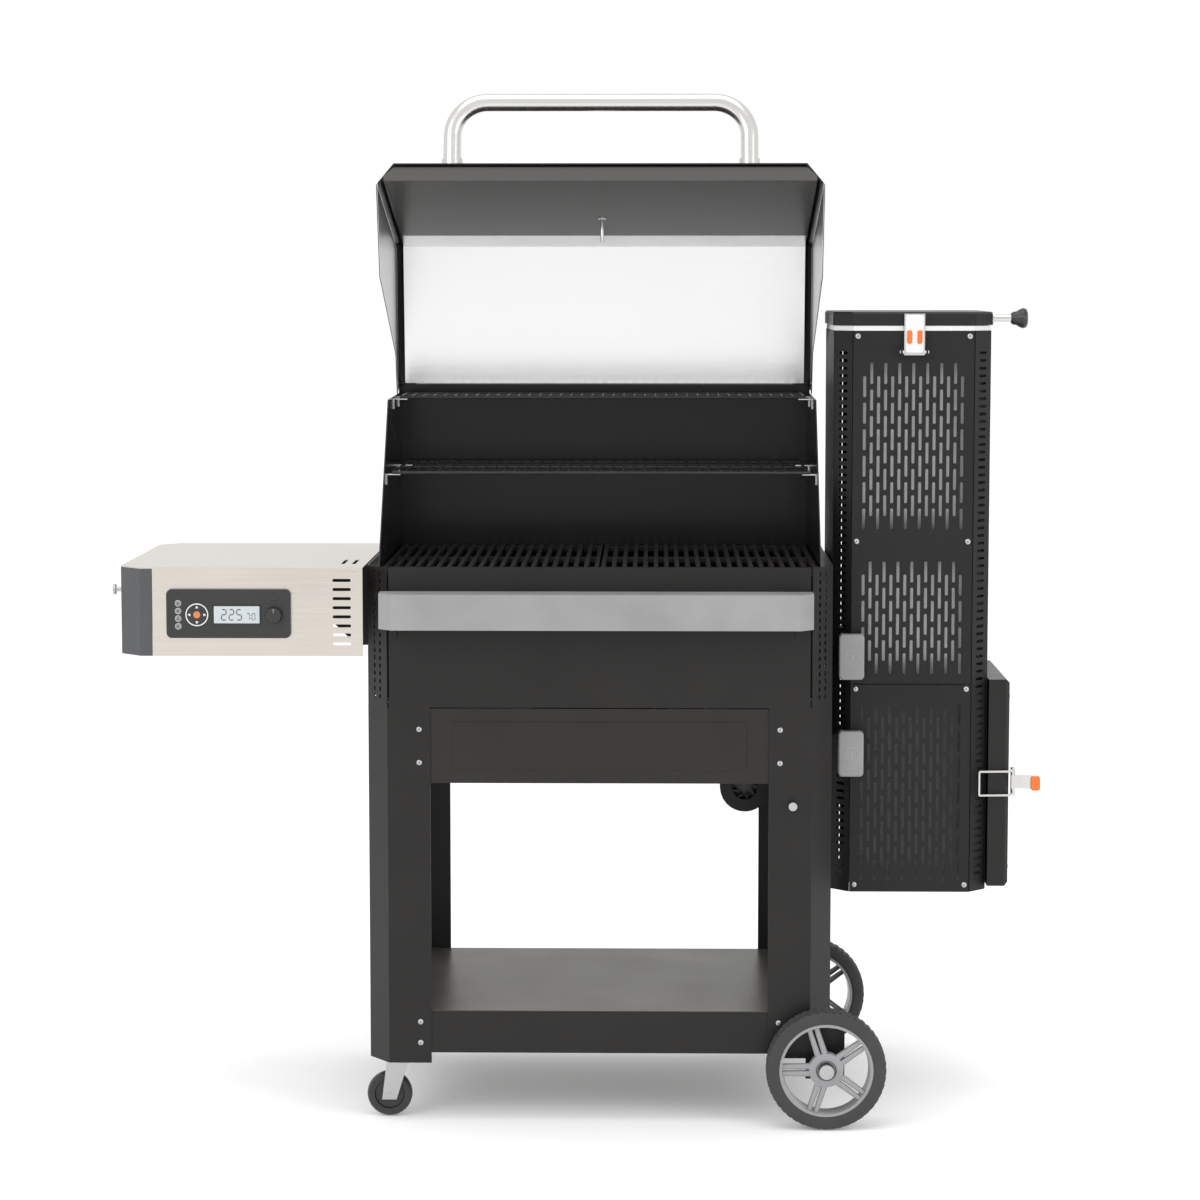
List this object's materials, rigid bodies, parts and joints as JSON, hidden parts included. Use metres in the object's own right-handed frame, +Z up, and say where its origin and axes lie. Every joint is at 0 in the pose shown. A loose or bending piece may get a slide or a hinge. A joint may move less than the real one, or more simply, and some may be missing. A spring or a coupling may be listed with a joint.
{
  "type": "offset smoker",
  "caption": "Gravity-fed charcoal smoker on a cart, with a hinged hood over a grate chamber, a hopper tower, a blower and a control shelf.",
  "frame": {"origin": "middle of the whole smoker's floor plan, on the floor, with the hood open", "axes": "+Z up, +X towards the hopper tower, +Y towards the back"},
  "size_m": [1.553, 0.627, 1.6922],
  "materials": {
    "black_enamel": "satin powder coat",
    "dark_liner": "glossy enamel",
    "stainless": "brushed",
    "pale_grey": "satin",
    "cast_iron": "seasoned matt enamel",
    "chrome": "polished",
    "zinc_steel": "zinc plated",
    "tyre_rubber": "matt",
    "silver_plastic": "satin",
    "black_plastic": "matt"
  },
  "bodies": {
    "cart": {"front_legs": "black_enamel", "back_legs": "black_enamel", "frame_rails": "black_enamel", "bottom_shelf": "black_enamel", "front_fascia": "black_enamel", "chamber_front": "black_enamel", "chamber_trims": "black_enamel", "chamber_sides": "black_enamel", "shelf_brackets": "black_enamel", "hopper_cover_front": "black_enamel", "firebox_cover": "black_enamel", "hopper_cover_sides": "black_enamel", "chamber_walls": "dark_liner", "chamber_back": "dark_liner", "chamber_floor": "dark_liner", "hopper_tube": "dark_liner", "firebox": "dark_liner", "gate_guides": "dark_liner", "fan_housing": "dark_liner", "side_shelf_front": "stainless", "side_shelf_top": "stainless", "front_shelf": "pale_grey", "side_shelf_end": "pale_grey", "cooking_grates": "cast_iron", "heat_manifold": "cast_iron", "charcoal_grate": "cast_iron", "warming_racks": "chrome", "rack_clips": "chrome", "axle": "zinc_steel", "cover_screws": "zinc_steel", "ash_pan": "zinc_steel", "tool_hooks": "zinc_steel", "control_panel": "black_plastic"},
    "hood": {"hood_shell": "black_enamel", "hood_liner": "stainless", "hood_handle": "stainless", "thermometer": "black_enamel"},
    "hopper_lid": {"hopper_lid": "black_enamel", "lid_knob": "black_plastic"},
    "hopper_latch": {"hopper_latch": "chrome"},
    "ash_door": {"ash_door": "black_enamel"},
    "door_latch": {"door_latch": "chrome"},
    "upper_gate": {"upper_gate": "pale_grey"},
    "lower_gate": {"lower_gate": "pale_grey"},
    "grease_tray": {"grease_tray": "zinc_steel"},
    "front_wheel": {"front_rim": "silver_plastic", "front_tyre": "tyre_rubber"},
    "back_wheel": {"back_rim": "silver_plastic", "back_tyre": "tyre_rubber"},
    "front_caster": {"front_caster_fork": "zinc_steel"},
    "front_caster_wheel": {"front_caster_wheel": "black_plastic"},
    "back_caster": {"back_caster_fork": "zinc_steel"},
    "back_caster_wheel": {"back_caster_wheel": "black_plastic"},
    "fan": {"fan_impeller": "black_plastic"},
    "menu_knob": {"menu_knob": "black_plastic"},
    "dial_pad": {"dial_pad": "black_plastic"},
    "button_1": {"button_1": "black_plastic"},
    "button_2": {"button_2": "black_plastic"},
    "button_3": {"button_3": "black_plastic"},
    "button_4": {"button_4": "black_plastic"}
  },
  "joints": [
    {"name": "hood_hinge", "type": "hinge", "parent": "cart", "child": "hood", "pos_m": [0.0415, 0.2395, 1.204], "axis": [1, 0, 0], "range_deg": [0, 69.5]},
    {"name": "hopper_lid_hinge", "type": "hinge", "parent": "cart", "child": "hopper_lid", "pos_m": [0.5575, 0.1765, 1.316], "axis": [-1, 0, 0], "range_deg": [0, 95]},
    {"name": "hopper_latch_pivot", "type": "hinge", "parent": "cart", "child": "hopper_latch", "pos_m": [0.5575, -0.1505, 1.268], "axis": [1, 0, 0], "range_deg": [0, 60]},
    {"name": "ash_door_hinge", "type": "hinge", "parent": "cart", "child": "ash_door", "pos_m": [0.6995, 0.1575, 0.548], "axis": [0, 0, 1], "range_deg": [0, 95]},
    {"name": "door_latch_pivot", "type": "hinge", "parent": "ash_door", "child": "door_latch", "pos_m": [0.7325, -0.1105, 0.5495], "axis": [0, 0, 1], "range_deg": [0, 60]},
    {"name": "upper_gate_slide", "type": "slide", "parent": "cart", "child": "upper_gate", "axis": [0, -1, 0], "range_m": [0, 0.19]},
    {"name": "lower_gate_slide", "type": "slide", "parent": "cart", "child": "lower_gate", "axis": [0, -1, 0], "range_m": [0, 0.19]},
    {"name": "grease_tray_slide", "type": "slide", "parent": "cart", "child": "grease_tray", "axis": [0, 1, 0], "range_m": [0, 0.3]},
    {"name": "front_wheel_spin", "type": "hinge", "parent": "cart", "child": "front_wheel", "pos_m": [0.4135, -0.2805, 0.099], "axis": [0, 1, 0], "continuous": true},
    {"name": "back_wheel_spin", "type": "hinge", "parent": "cart", "child": "back_wheel", "pos_m": [0.4135, 0.2855, 0.099], "axis": [0, 1, 0], "continuous": true},
    {"name": "front_caster_swivel", "type": "hinge", "parent": "cart", "child": "front_caster", "pos_m": [-0.2945, -0.2085, 0.095], "axis": [0, 0, 1], "continuous": true},
    {"name": "front_caster_spin", "type": "hinge", "parent": "front_caster", "child": "front_caster_wheel", "pos_m": [-0.3085, -0.2085, 0.0375], "axis": [0, 1, 0], "continuous": true},
    {"name": "back_caster_swivel", "type": "hinge", "parent": "cart", "child": "back_caster", "pos_m": [-0.2945, 0.2135, 0.095], "axis": [0, 0, 1], "continuous": true},
    {"name": "back_caster_spin", "type": "hinge", "parent": "back_caster", "child": "back_caster_wheel", "pos_m": [-0.3085, 0.2135, 0.0375], "axis": [0, 1, 0], "continuous": true},
    {"name": "fan_spin", "type": "hinge", "parent": "cart", "child": "fan", "pos_m": [0.2875, 0.0475, 0.516], "axis": [0, 1, 0], "continuous": true},
    {"name": "menu_knob_turn", "type": "hinge", "parent": "cart", "child": "menu_knob", "pos_m": [-0.4882, -0.2525, 0.8434], "axis": [0, 1, 0], "continuous": true},
    {"name": "button_1_push", "type": "slide", "parent": "cart", "child": "button_1", "axis": [0, 1, 0], "range_m": [0, 0.0015], "stiffness_N_per_m": 300},
    {"name": "button_2_push", "type": "slide", "parent": "cart", "child": "button_2", "axis": [0, 1, 0], "range_m": [0, 0.0015], "stiffness_N_per_m": 300},
    {"name": "button_3_push", "type": "slide", "parent": "cart", "child": "button_3", "axis": [0, 1, 0], "range_m": [0, 0.0015], "stiffness_N_per_m": 300},
    {"name": "button_4_push", "type": "slide", "parent": "cart", "child": "button_4", "axis": [0, 1, 0], "range_m": [0, 0.0015], "stiffness_N_per_m": 300},
    {"name": "dial_pad_push", "type": "slide", "parent": "cart", "child": "dial_pad", "axis": [0, 1, 0], "range_m": [0, 0.0012], "stiffness_N_per_m": 600}
  ]
}
